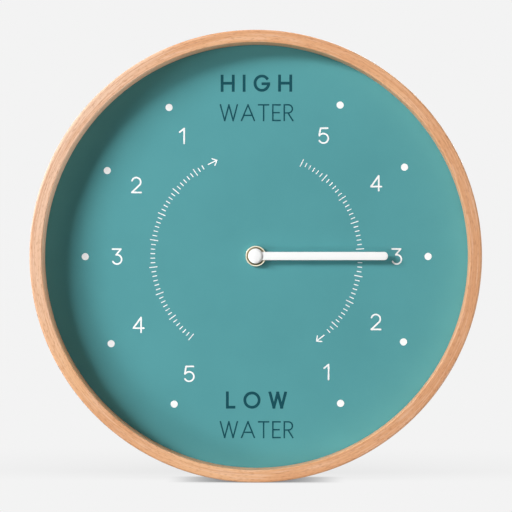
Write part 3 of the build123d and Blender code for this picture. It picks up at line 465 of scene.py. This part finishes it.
def strokeShape(path, width, face, height, outward, square=False):
    # ribbon of one width along a flat path (x, z), round or square at both ends, raised from the plane y = face
    path = np.asarray(path, float)
    closed = np.allclose(path[0], path[-1])
    heading = np.gradient(path, axis=0)
    if closed:
        heading[0] = heading[-1] = path[1] - path[-2]
    heading /= np.linalg.norm(heading, axis=1, keepdims=True)
    half = np.full(len(path), width / 2)
    if not closed:
        # six more points at each end: how far they reach past it and how wide they are, in half widths
        swing = np.linspace(0, math.pi / 2, 7)[:-1]
        reach = np.array([1, 1, 0.9, 0.6, 0.3, 0.1]) if square else np.cos(swing)
        share = np.array([0, 0.9, 1, 1, 1, 1]) if square else np.sin(swing)
        past = reach[:, None] * width / 2
        path = np.concatenate([path[0] - heading[0] * past, path, path[-1] + heading[-1] * past[::-1]])
        half = np.concatenate([share * width / 2, half, share[::-1] * width / 2])
        more = len(share)
        heading = np.concatenate([heading[:1].repeat(more, 0), heading, heading[-1:].repeat(more, 0)])
    across = np.array([-1, -1, -0.9, 0.9, 1, 1, -1])[None, :]
    lift = np.array([0, 0.6, 1, 1, 0.6, 0, 0])[None, :] * height
    x = path[:, :1] - heading[:, 1:] * across * half[:, None]
    z = path[:, 1:] + heading[:, :1] * across * half[:, None]
    return gridShape(x, face + outward * lift, z, across * half[:, None], np.arange(len(path))[:, None] * width)


def strokes(paths, width, face, height, outward, stagger, square=False):
    # a ribbon for each path, each a hair higher than the one before, so that no two faces are in one plane
    return [strokeShape(path, width, face, height * (1 + stagger * order), outward, square)
            for order, path in enumerate(paths)]


def line(start, end):
    # straight path between two points
    return np.linspace(start, end, 4)


def bend(x, z, radius, start, end, wide=1.0):
    # arc about (x, z), angles in degrees, counter-clockwise when end is larger
    turn = np.radians(np.linspace(start, end, max(8, int(abs(end - start) / 6))))
    return np.stack([x + wide * radius * np.cos(turn), z + radius * np.sin(turn)], -1)


def barbs(tip, ahead, length, spread):
    # the two strokes of an arrow head, back from its tip
    side = np.array([-ahead[1], ahead[0]])
    return [line(tip, tip - ahead * length + side * spread * sign) for sign in (1, -1)]


# wood ring

ring = {"sight": 141.8 * mm, "rabbet": 144.5 * mm, "rabbetFrom": 20 * mm, "edge": 1.4 * mm, "sightEdge": 0.6 * mm,
        "arris": 0.35 * mm, "corner": 0.1 * mm, "steps": 360}
ringLow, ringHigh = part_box("wood_ring")
ringRadius = (ringHigh.x - ringLow.x) / 2
shelf = ringLow.y + ring["rabbetFrom"]
ringSection = roundedLoop(
    [(ring["sight"], ringLow.y), (ringRadius, ringLow.y), (ringRadius, ringHigh.y),
     (ring["rabbet"], ringHigh.y), (ring["rabbet"], shelf), (ring["sight"], shelf)],
    [ring[name] for name in ("sightEdge", "edge", "edge", "arris", "corner", "arris")])
woodRing = addPiece("woodRing", turnedShape(ringSection, hub, ring["steps"]),
                    "beech", "clock_case", ["wood_ring"])


# hand and its cap

hand = {"width": 5.5 * mm, "eye": 5.0 * mm, "tipRound": 2.4 * mm, "edge": 0.28 * mm,
        "eyeSteps": 28, "barSteps": 12, "tipSteps": 14, "edgeSteps": 5}
handLow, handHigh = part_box("tide_hand")


def handShape():
    # closed section (a bar with rounded edges) along x;
    # its half width follows the eye's circle, then the bar, then the tip
    bar, eye, tip = hand["width"] / 2, hand["eye"], hand["tipRound"]
    eyeTurn = np.linspace(0, math.pi - math.asin(bar / eye), hand["eyeSteps"])
    tipTurn = np.linspace(0, math.pi / 2, hand["tipSteps"])
    x = np.concatenate([-eye * np.cos(eyeTurn), np.linspace(0.1, 0.9, hand["barSteps"]) * handHigh.x,
                        handHigh.x - tip + tip * np.sin(tipTurn), [handHigh.x]])[:, None]
    half = np.concatenate([eye * np.sin(eyeTurn), np.full(hand["barSteps"], bar),
                           bar - tip + tip * np.cos(tipTurn), [0]])[:, None]
    edge = np.minimum(hand["edge"], half)
    corner = np.linspace(0, math.pi / 2, hand["edgeSteps"])
    quarters = np.arange(4)[:, None]
    swing = np.append((corner + quarters * math.pi / 2).ravel(), 0)[None, :]
    # each quarter turn of the section lies about its own corner of the bar
    side = np.append(np.repeat([1, -1, -1, 1], len(corner)), 1)[None, :]
    face = np.append(np.repeat([1, 1, -1, -1], len(corner)), 1)[None, :]
    depth = (handHigh.y - handLow.y) / 2
    z = hub.z + side * (half - edge) + edge * np.cos(swing)
    y = (handLow.y + handHigh.y) / 2 + face * (depth - hand["edge"]) + hand["edge"] * np.sin(swing)
    return gridShape(x, y, z, x, z)


addPiece("tideHand", handShape(), "white_paint", "hand_group", ["tide_hand"])

cap = {"rim": 0.3 * mm, "rimEdge": 0.1 * mm, "steps": 96, "domeSteps": 24,
       "fullness": 2.6}  # 2 is an ellipse, more is flatter on top
capLow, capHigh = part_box("hand_cap")
capRadius = (capHigh.x - capLow.x) / 2
capSwing = np.linspace(0, math.pi / 2, cap["domeSteps"])
capBow = 2 / cap["fullness"]
domeFoot = handLow.y - cap["rim"]  # where the dome meets the upright rim
capSection = np.concatenate([
    np.stack([capRadius * np.sin(capSwing) ** capBow,
              domeFoot - (domeFoot - capLow.y) * np.cos(capSwing).clip(0) ** capBow], -1),
    [(capRadius, domeFoot + cap["rimEdge"]), (capRadius, handLow.y), (0, handLow.y)]])
addPiece("handCap", turnedShape(capSection, hub, cap["steps"]),
         "white_plastic", "hand_group", ["hand_cap"])


# knurled nut under the hand

nut = {"bore": 4.05 * mm, "rim": 0.85 * mm, "dish": 0.95 * mm, "chamfer": 0.25 * mm,
       "knurls": 48, "knurlDepth": 0.22 * mm, "knurlSteps": 8,
       "edges": np.array([0.1, 0.12, 0.08, 0.08, 0.1, 0.1]) * mm, "edgeSteps": 4, "edgeGuard": 0.03 * mm}
nutLow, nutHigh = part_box("fixing_nut")
nutRadius = (nutHigh.x - nutLow.x) / 2
nutSection = roundedLoop(
    [(nut["bore"], nutLow.y + nut["dish"]), (nutRadius - nut["rim"], nutLow.y),
     (nutRadius - nut["chamfer"], nutLow.y), (nutRadius, nutLow.y + nut["chamfer"]),
     (nutRadius, nutHigh.y), (nut["bore"], nutHigh.y)], nut["edges"], nut["edgeSteps"], nut["edgeGuard"])
nutDepth = nut["knurlDepth"] * np.clip((nutSection[:, 0] - nutRadius + nut["chamfer"]) / nut["chamfer"], 0, 1)
addPiece("fixingNut", turnedShape(nutSection, hub, nut["knurls"] * nut["knurlSteps"], "y", nut["knurls"], nutDepth),
         "nut_brass", "clock_case", ["fixing_nut"])


# printed marks on the dial

marks = {
    "height": 0.06 * mm, "stagger": 0.05,  # how proud the print stands, and how much more each next stroke
    "offset": (0.32 * mm, -0.1 * mm),  # of the print from the hub
    "dotRadius": 2.4 * mm, "dotEdge": 0.08 * mm, "dotSteps": 48, "digitTall": 10.0 * mm, "digitStroke": 1.1 * mm,
    "scaleAt": 69.6 * mm, "arcs": ((231, 121), (64, -46)),  # degrees at which each graduated arc starts and ends
    "tick": 1.3 * mm, "longTick": 2.5 * mm, "longEvery": 6, "tickStroke": 0.62 * mm, "tickStep": 2.5,
    "arrow": 3.2 * mm, "arrowPast": 6, "arrowStroke": 0.8 * mm, "barb": 0.8, "barbSpread": 0.75,
    "labelBold": {"at": 116.2 * mm, "tall": 9.6 * mm, "stroke": 1.9 * mm, "gap": 0.76},
    "labelThin": {"at": 96.4 * mm, "tall": 10.5 * mm, "stroke": 0.98 * mm, "gap": 0.27},
    # number, then radius (mm) and angle (degrees) of its digit and of its dot
    "hours": [
        ("5", 92.6, 60.9, 115.9, 61.0), ("4", 94.1, 31.3, 115.8, 31.0), ("3", 93.8, -0.1, 115.0, -0.1),
        ("2", 91.3, -28.8, 114.0, -30.2), ("1", 90.9, -58.6, 113.5, -60.2),
        ("1", 94.8, 121.5, 116.0, 120.4), ("2", 93.9, 149.3, 115.7, 150.1), ("3", 93.9, 180.1, 115.1, 180.1),
        ("4", 91.5, 210.2, 113.9, 211.0), ("5", 90.9, 240.2, 113.5, 240.9)],
}

printX, printZ = hub.x + marks["offset"][0], hub.z + marks["offset"][1]

# strokes of each sign on a height of 1; the letters also have their width
digits = {
    "1": [line((-0.2, 0.76), (0.1, 1.0)), line((0.1, 1.0), (0.1, 0.0))],
    "2": [np.concatenate([bend(0.0, 0.7, 0.3, 162, -45), line((0.212, 0.488), (-0.3, 0.0))[1:]]),
          line((-0.3, 0.0), (0.32, 0.0))],
    "3": [line((-0.28, 1.0), (0.28, 1.0)), line((0.28, 1.0), (-0.04, 0.62)),
          np.concatenate([line((-0.04, 0.62), (0.02, 0.62))[:-1], bend(0.02, 0.31, 0.31, 90, -152)])],
    "4": [line((0.16, 1.0), (0.16, 0.0)), line((0.16, 1.0), (-0.36, 0.28)), line((-0.36, 0.28), (0.34, 0.28))],
    "5": [line((-0.2, 1.0), (0.28, 1.0)), line((-0.2, 1.0), (-0.28, 0.5)),
          np.concatenate([line((-0.28, 0.5), (-0.2, 0.57))[:-1], bend(0.0, 0.32, 0.32, 128, -150)])],
}
letters = {
    "H": (0.78, [line((0, 0), (0, 1)), line((0.78, 0), (0.78, 1)), line((0, 0.5), (0.78, 0.5))]),
    "I": (0.0, [line((0, 0), (0, 1))]),
    "G": (0.96, [bend(0.48, 0.5, 0.5, 42, 352, 0.96), line((0.56, 0.46), (0.96, 0.46))]),
    "L": (0.46, [line((0, 1), (0, 0)), line((0, 0), (0.46, 0))]),
    "O": (1.0, [bend(0.5, 0.5, 0.5, 0, 360)]),
    "W": (1.08, [line((0, 1), (0.27, 0)), line((0.27, 0), (0.54, 1)),
                 line((0.54, 1), (0.81, 0)), line((0.81, 0), (1.08, 1))]),
    "A": (0.82, [line((0, 0), (0.41, 1)), line((0.41, 1), (0.82, 0)), line((0.14, 0.33), (0.68, 0.33))]),
    "T": (0.64, [line((0, 1), (0.64, 1)), line((0.32, 1), (0.32, 0))]),
    "E": (0.46, [line((0, 0), (0, 1)), line((0, 1), (0.46, 1)),
                 line((0, 0.5), (0.4, 0.5)), line((0, 0), (0.46, 0))]),
    "R": (0.52, [line((0, 0), (0, 1)),
                 np.concatenate([line((0, 1), (0.26, 1))[:-1], bend(0.26, 0.74, 0.26, 90, -90),
                                 line((0.26, 0.48), (0, 0.48))[1:]]),
                 line((0.24, 0.48), (0.54, 0))]),
}


def printStrokes(paths, stroke, square=False):
    return strokes(paths, stroke, dialFace, marks["height"], -1, marks["stagger"], square)


def signStrokes(paths, x, z, tall, stroke, square=False):
    # one sign with its foot at (x, z); slanting strokes end level with the others
    shapes = printStrokes([np.array([x, z]) + path * tall for path in paths], stroke, square)
    for points, faces, sheet in shapes:
        points[:, 2] = np.clip(points[:, 2], z - stroke / 2, z + tall + stroke / 2)
    return shapes


def polar(radius, degrees):
    turn = math.radians(degrees)
    return printX + radius * math.cos(turn), printZ + radius * math.sin(turn)


def arrowPaths(radius, degrees, size):
    # arrow along a circle, pointing clockwise: a short shaft and two barbs
    turn = math.radians(degrees)
    ahead = np.array([math.sin(turn), -math.cos(turn)])
    at = np.array(polar(radius, degrees))
    tip = at + ahead * size
    return [line(at - ahead * size, tip)] + barbs(tip, ahead, size * marks["barb"], size * marks["barbSpread"])


def dotShape(x, z):
    # flat printed dot with a soft edge
    radius, high = marks["dotRadius"], marks["height"]
    section = [(0, dialFace), (radius, dialFace), (radius, dialFace - 0.6 * high),
               (radius - marks["dotEdge"], dialFace - high), (0, dialFace - high)]
    return turnedShape(section, (x, 0, z), marks["dotSteps"])


whiteShapes, tall = [], marks["digitTall"]
for number, digitRadius, digitTurn, dotRadius, dotTurn in marks["hours"]:
    whiteShapes.append(dotShape(*polar(dotRadius * mm, dotTurn)))
    x, z = polar(digitRadius * mm, digitTurn)
    whiteShapes += signStrokes(digits[number], x, z - tall / 2, tall, marks["digitStroke"])

# two graduated arcs, rising on the left and falling on the right, each ended by an arrow
for start, end in marks["arcs"]:
    count = int(abs(end - start) / marks["tickStep"]) + 1
    for step, degrees in enumerate(np.linspace(start, end, count)):
        reach = marks["tick"] if step % marks["longEvery"] else marks["longTick"]
        tick = np.linspace(polar(marks["scaleAt"] - reach, degrees), polar(marks["scaleAt"] + reach, degrees), 3)
        whiteShapes += printStrokes([tick], marks["tickStroke"])
    whiteShapes += printStrokes(arrowPaths(marks["scaleAt"], end - marks["arrowPast"], marks["arrow"]),
                                marks["arrowStroke"])
addPiece("dialMarks", joined(whiteShapes), "whiteInk", "clock_case", sharp=10)


def labelStrokes(word, z, style):
    # letters side by side, centred on the axis
    width = sum(letters[sign][0] for sign in word) + style["gap"] * (len(word) - 1)
    x, shapes = printX - width * style["tall"] / 2, []
    for sign in word:
        shapes += signStrokes(letters[sign][1], x, z - style["tall"] / 2, style["tall"], style["stroke"], True)
        x += (letters[sign][0] + style["gap"]) * style["tall"]
    return shapes


bold, thin = marks["labelBold"], marks["labelThin"]
darkShapes = labelStrokes("HIGH", printZ + bold["at"], bold) + labelStrokes("WATER", printZ + thin["at"], thin)
darkShapes += labelStrokes("LOW", printZ - thin["at"], bold) + labelStrokes("WATER", printZ - bold["at"], thin)
addPiece("dialLabels", joined(darkShapes), "darkTealInk", "clock_case", sharp=10)


# setting knob at the back

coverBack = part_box("movement_cover")[1].y
knob = {"edge": 0.35 * mm, "bevelIn": 0.1 * mm, "bevelDown": 0.12 * mm, "gap": 0.3 * mm,
        "dish": 4.2 * mm, "dishDepth": 0.35 * mm, "dishLip": 0.2 * mm, "lipDown": 0.05 * mm, "dishWall": 0.35 * mm,
        "flutes": 30, "fluteDepth": 0.35 * mm, "fluteFrom": 0.3 * mm, "fluteSteps": 8}
knobLow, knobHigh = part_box("setting_knob")
knobAt = middle("setting_knob")
knobRadius = (knobHigh.x - knobLow.x) / 2
knobFront, knobFloor = coverBack + knob["gap"], knobHigh.y - knob["dishDepth"]
knobSection = np.array([
    (0, knobFront), (knobRadius - knob["edge"], knobFront),
    (knobRadius - knob["bevelIn"], knobFront + knob["bevelDown"]), (knobRadius, knobFront + knob["edge"]),
    (knobRadius, knobHigh.y - knob["edge"]), (knobRadius - knob["bevelIn"], knobHigh.y - knob["bevelDown"]),
    (knobRadius - knob["edge"], knobHigh.y), (knob["dish"] + knob["dishLip"], knobHigh.y),
    (knob["dish"], knobHigh.y - knob["lipDown"]), (knob["dish"] - knob["dishWall"], knobFloor), (0, knobFloor)])
knobDepth = np.where(knobSection[:, 0] > knobRadius - knob["fluteFrom"], knob["fluteDepth"], 0)
addPiece("settingKnob",
         turnedShape(knobSection, knobAt, knob["flutes"] * knob["fluteSteps"], "y", knob["flutes"], knobDepth),
         "knob_grey", "setting_group", ["setting_knob"])


# battery cell

cell = {
    # profile of both ends: how far in from the sleeve, and along from the flat end or from the foot of the nub
    "flatEnd": np.array([(1.6, 0), (1.3, 0.15), (0.75, 0.15), (0.4, 0.3), (0.12, 0.9), (0, 1.05)]) * mm,
    "nubEnd": np.array([(0, -0.9), (0.12, -0.7), (0.6, -0.1), (1.1, 0)]) * mm,
    "nubRadius": 2.75 * mm, "nubLength": 1.0 * mm, "nubEdge": 0.25 * mm, "nubFoot": 0.2 * mm, "steps": 96,
}
cellLow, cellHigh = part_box("battery_cell")
cellAt = middle("battery_cell")
cellRadius = (cellHigh.y - cellLow.y) / 2
nubFrom, nubRadius, nubEdge = cellHigh.x - cell["nubLength"], cell["nubRadius"], cell["nubEdge"]
cellSection = np.concatenate([
    [(0, cellLow.x)], (cellRadius, cellLow.x) + cell["flatEnd"] * (-1, 1),
    (cellRadius, nubFrom) + cell["nubEnd"] * (-1, 1),
    [(nubRadius + nubEdge, nubFrom), (nubRadius, nubFrom + cell["nubFoot"]), (nubRadius, cellHigh.x - nubEdge),
     (nubRadius - nubEdge, cellHigh.x), (0, cellHigh.x)]])
cellPoints, cellFaces, cellSheet = turnedShape(cellSection, cellAt, cell["steps"], "x")
cellSheet = cellSheet - np.array([0, cellLow.x])  # v counts from the flat end
addPiece("batteryCell", (cellPoints, cellFaces, cellSheet),
         "cell_sleeve", "battery_group", ["battery_cell"])


# moulded signs on the movement's cover: a ring and a two-way arrow about the knob, plus and minus, ribs

relief = {
    "height": 0.3 * mm, "stroke": 0.8 * mm, "stagger": 0.03,
    "ringRadius": 7.6 * mm, "arcRadius": 9.9 * mm, "arcFrom": 40, "arcTo": 140,
    "barb": 1.8 * mm, "barbSpread": 1.5 * mm,
    # the signs stand signRise above the cell's axis; arm is half of a stroke
    "plusAt": 24 * mm, "minusAt": -23 * mm, "signRise": 11.4 * mm, "arm": 1.7 * mm,
    "ribs": 5, "ribStep": 2.6 * mm, "ribFrom": -22 * mm, "ribLength": 14 * mm, "ribRise": 23 * mm,
}
reliefPaths = [bend(knobAt.x, knobAt.z, relief["ringRadius"], 0, 360),
               bend(knobAt.x, knobAt.z, relief["arcRadius"], relief["arcFrom"], relief["arcTo"])]
for degrees, way in ((relief["arcTo"], 1), (relief["arcFrom"], -1)):
    turn = math.radians(degrees)
    out = np.array([math.cos(turn), math.sin(turn)])
    tip = np.array([knobAt.x, knobAt.z]) + relief["arcRadius"] * out
    reliefPaths += barbs(tip, np.array([-out[1], out[0]]) * way, relief["barb"], relief["barbSpread"])
plusAt, minusAt = [np.array([relief[name], cellAt.z + relief["signRise"]]) for name in ("plusAt", "minusAt")]
level, upright = np.array([relief["arm"], 0]), np.array([0, relief["arm"]])
reliefPaths += [line(at - arm, at + arm) for at, arm in ((plusAt, level), (plusAt, upright), (minusAt, level))]
for row in range(relief["ribs"]):
    ribAt = hub.z + relief["ribRise"] - row * relief["ribStep"]
    reliefPaths.append(line((relief["ribFrom"], ribAt), (relief["ribFrom"] + relief["ribLength"], ribAt)))
addPiece("coverRelief",
         joined(strokes(reliefPaths, relief["stroke"], coverBack, relief["height"], 1, relief["stagger"])),
         "black_abs", "clock_case")


# studio

studio = {
    "backdrop": tint(243, 243, 243), "contact": tint(134, 134, 135), "bounce": (0.25, 0.25, 0.25, 1),
    "floorSize": 3.0, "floorFade": (0.4, 1.2),  # the paper fades out between these distances
    # how the object shades the floor: close by, and widely from a little behind its front
    "contactReach": 0.012, "shadeReach": 0.3, "shadeShare": 0.4, "shadeFrom": 0.005, "shadeFull": 0.1,
    "ambient": 0.02, "gleam": 0.6,  # brightness of the world as light and in reflections
    "lampFar": 5.5, "cameraFar": 1.5, "cameraAt": (0.044, -0.0156), "aimAt": (0.00063, -0.00011),
    "viewWide": 0.33877,  # metres across the picture at the ring's front
    "sensor": 36, "clip": (0.05, 50),
}
# watts, size in metres, and either degrees off the dial's normal and up from the left, or a place
lamps = {
    "keyLight": {"power": 324.0, "size": (2.66, 0.9), "off": 54.0, "rise": 24.0},
    "lowLight": {"power": 122.0, "size": (1.5, 1.9), "off": 58.3, "rise": -15.0},
    "frontLight": {"power": 40.0, "size": (1.5, 1.5), "off": 6.0, "rise": 180.0},
    "rightLight": {"power": 105.0, "size": (1.2, 2.6), "off": 84.0, "rise": 225.0},
    "wallLight": {"power": 138.0, "size": (1.2, 2.6), "off": 85.5, "rise": 190.0},
    "overLight": {"power": 115.0, "size": (2.6, 0.7), "off": 86.5, "rise": 90.0},
    "backLight": {"power": 265.0, "size": (2.6, 2.6), "at": (1.4, 4.4, 2.4)},
    "rearLight": {"power": 45.0, "size": (2.6, 2.6), "at": (-3.4, 3.2, 0.9)},
}


def lampPlace(off, rise):
    # a place `off` degrees from the dial's normal, towards the left and `rise` degrees up
    off, rise, far = math.radians(off), math.radians(rise), studio["lampFar"]
    return (hub.x - far * math.sin(off) * math.cos(rise), dialFace - far * math.cos(off),
            hub.z + far * math.sin(off) * math.sin(rise))


def areaLight(name, lamp):
    data = bpy.data.lights.new(name, "AREA")
    data.shape, data.energy = "RECTANGLE", lamp["power"]
    data.size, data.size_y = lamp["size"]
    light = bpy.data.objects.new(name, data)
    light.location = lamp["at"] if "at" in lamp else lampPlace(lamp["off"], lamp["rise"])
    light.rotation_euler = (hub - light.location).to_track_quat("-Z", "Y").to_euler()
    light.visible_camera = False
    bpy.context.scene.collection.objects.link(light)
    return light


lights = {name: areaLight(name, lamp) for name, lamp in lamps.items()}


def paintFloor(wire):
    # paper as bright as the backdrop, shaded only where the object stands close to it; it throws little light back
    away = wire.node("ShaderNodeVectorMath", {"operation": "LENGTH"}, {0: wire.place()}, out="Value")
    close = wire.node("ShaderNodeAmbientOcclusion", None, {"Distance": studio["contactReach"]}, out="AO")
    wide = wire.node("ShaderNodeAmbientOcclusion", None, {"Distance": studio["shadeReach"]}, out="AO")
    behind = wire.split().out("Y").between(ringLow.y + studio["shadeFrom"], ringLow.y + studio["shadeFull"])
    bare = wire.calc("SQRT", close).between(0.0, 1.0) * (1 - (1 - wide) * behind * studio["shadeShare"])
    paper = wire.node("ShaderNodeEmission", None, {"Color": bare.mixed(studio["contact"], studio["backdrop"])})
    dull = wire.node("ShaderNodeBsdfDiffuse", None, {"Color": studio["bounce"]})
    seen = wire.node("ShaderNodeLightPath", out="Is Camera Ray")
    sheet = wire.node("ShaderNodeMixShader", None, {0: seen, 1: dull, 2: paper})
    clear = wire.node("ShaderNodeBsdfTransparent")
    return wire.node("ShaderNodeMixShader", None, {0: away.between(*studio["floorFade"]), 1: sheet, 2: clear})


half = studio["floorSize"] / 2
floorMesh = bpy.data.meshes.new("floor")
floorMesh.from_pydata([(x, y, ringLow.z) for x, y in ((-half, -half), (half, -half), (half, half), (-half, half))],
                      [], [(0, 1, 2, 3)])
floorMesh.materials.append(newLook("floorPaper", paintFloor))
floor = bpy.data.objects.new("floor", floorMesh)
bpy.context.scene.collection.objects.link(floor)

floorOut = bpy.data.collections.new("floorOut")  # the floor takes no light from the lamps and casts no shadow in it
floorOut.objects.link(floor)
floorOut.collection_objects[0].light_linking.link_state = "EXCLUDE"
for light in lights.values():
    light.light_linking.receiver_collection = floorOut
    light.light_linking.blocker_collection = floorOut

ringOnly = bpy.data.collections.new("ringOnly")  # one lamp lights the ring's inner wall and nothing else
ringOnly.objects.link(woodRing)
lights["wallLight"].light_linking.receiver_collection = ringOnly

world = bpy.data.worlds.new("studioWorld")
world.use_nodes = True
world.node_tree.nodes.clear()
sky = Wire(world.node_tree)


def glow(colour, strength):
    return sky.node("ShaderNodeBackground", None, {"Color": colour, "Strength": strength})


white = (1, 1, 1, 1)
seen = sky.node("ShaderNodeLightPath", out="Is Camera Ray")
soft = sky.node("ShaderNodeMixShader", None, {
    0: seen.out("Is Glossy Ray"), 1: glow(white, studio["ambient"]), 2: glow(white, studio["gleam"])})
whole = sky.node("ShaderNodeMixShader", None, {0: seen, 1: soft, 2: glow(studio["backdrop"], 1.0)})
sky.node("ShaderNodeOutputWorld", None, {"Surface": whole})
bpy.context.scene.world = world
bpy.context.scene.view_settings.view_transform = "Standard"
bpy.context.scene.view_settings.look = "None"

lens = bpy.data.cameras.new("camera")
lens.sensor_width = studio["sensor"]
lens.lens = studio["sensor"] * studio["cameraFar"] / studio["viewWide"]
lens.clip_start, lens.clip_end = studio["clip"]
camera = bpy.data.objects.new("camera", lens)
camera.location = (hub.x + studio["cameraAt"][0], ringLow.y - studio["cameraFar"], hub.z + studio["cameraAt"][1])
aim = Vector((hub.x + studio["aimAt"][0], ringLow.y, hub.z + studio["aimAt"][1]))
camera.rotation_euler = (aim - camera.location).to_track_quat("-Z", "Y").to_euler()
bpy.context.scene.collection.objects.link(camera)
bpy.context.scene.camera = camera
print("studio ready")
